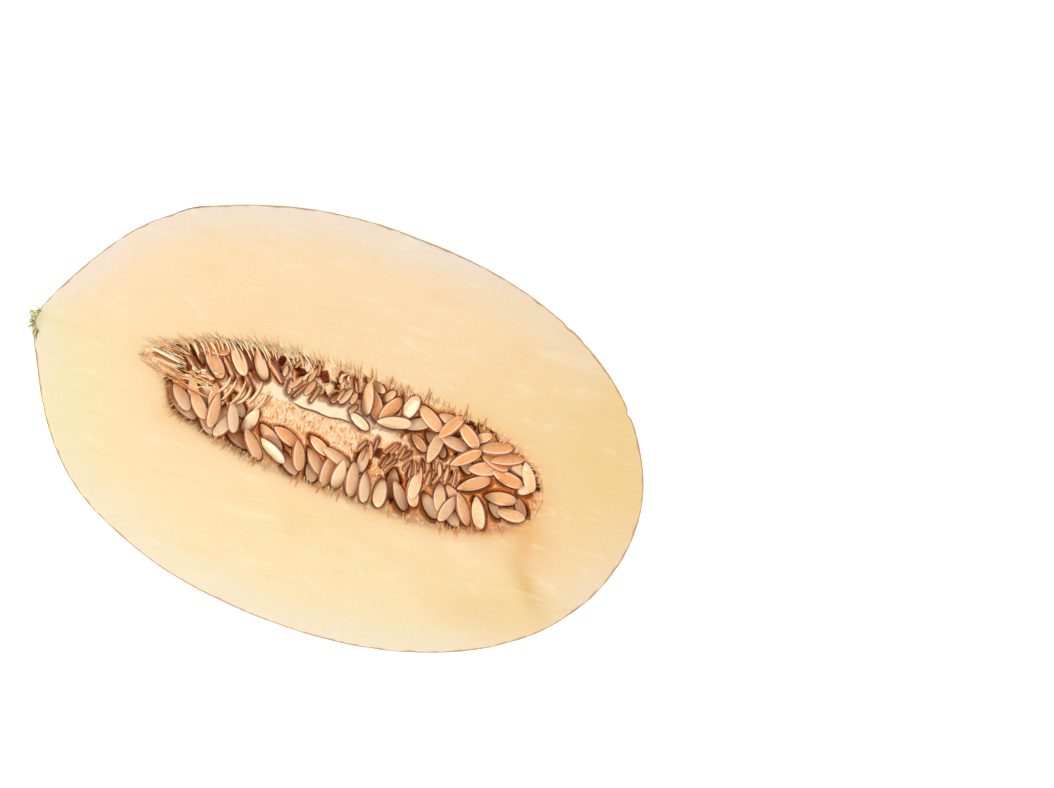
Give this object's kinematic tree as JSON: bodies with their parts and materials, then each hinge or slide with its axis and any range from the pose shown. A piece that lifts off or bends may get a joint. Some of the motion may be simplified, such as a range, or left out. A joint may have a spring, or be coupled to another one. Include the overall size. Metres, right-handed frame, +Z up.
{
  "type": "melon half",
  "caption": "Half of a pale netted melon, cut lengthwise through its stem end, cut face up, with pulp and seeds still in the seed cavity.",
  "frame": {"origin": "on the ground under the middle of the half, at the flattened ground spot of its rind", "axes": "+X from the stem end to the blossom end, +Z up out of the cut face"},
  "size_m": [0.24, 0.154, 0.076],
  "materials": {
    "rind_and_flesh": "moist pale flesh, matt cream rind with a raised tan net",
    "seed_pulp": "wet fibrous pulp",
    "seed_coat": "smooth wet seed coat",
    "dried_stem": "dry and fibrous"
  },
  "bodies": {
    "root": {"rind_and_flesh": "rind_and_flesh", "seed_01": "seed_coat", "seed_02": "seed_coat", "seed_03": "seed_coat", "seed_04": "seed_coat", "seed_05": "seed_coat", "seed_06": "seed_coat", "seed_07": "seed_coat", "seed_08": "seed_coat", "seed_09": "seed_coat", "seed_10": "seed_coat", "seed_11": "seed_coat", "seed_12": "seed_coat", "seed_13": "seed_coat", "seed_14": "seed_coat", "seed_15": "seed_coat", "seed_16": "seed_coat", "seed_17": "seed_coat", "seed_18": "seed_coat", "seed_19": "seed_coat", "seed_20": "seed_coat", "seed_21": "seed_coat", "seed_22": "seed_coat", "seed_23": "seed_coat", "seed_24": "seed_coat", "seed_25": "seed_coat", "seed_26": "seed_coat", "seed_27": "seed_coat", "seed_28": "seed_coat", "seed_29": "seed_coat", "seed_30": "seed_coat", "seed_31": "seed_coat", "seed_32": "seed_coat", "seed_33": "seed_coat", "seed_34": "seed_coat", "seed_35": "seed_coat", "seed_36": "seed_coat", "seed_37": "seed_coat", "seed_38": "seed_coat", "seed_39": "seed_coat", "seed_40": "seed_coat", "seed_41": "seed_coat", "seed_42": "seed_coat", "seed_43": "seed_coat", "seed_44": "seed_coat", "seed_45": "seed_coat", "seed_46": "seed_coat", "seed_47": "seed_coat", "seed_48": "seed_coat", "seed_49": "seed_coat", "seed_50": "seed_coat", "seed_51": "seed_coat", "seed_52": "seed_coat", "seed_53": "seed_coat", "seed_54": "seed_coat", "seed_55": "seed_coat", "seed_56": "seed_coat", "seed_57": "seed_coat", "seed_pulp": "seed_pulp", "stem_stub": "dried_stem"}
  },
  "joints": []
}
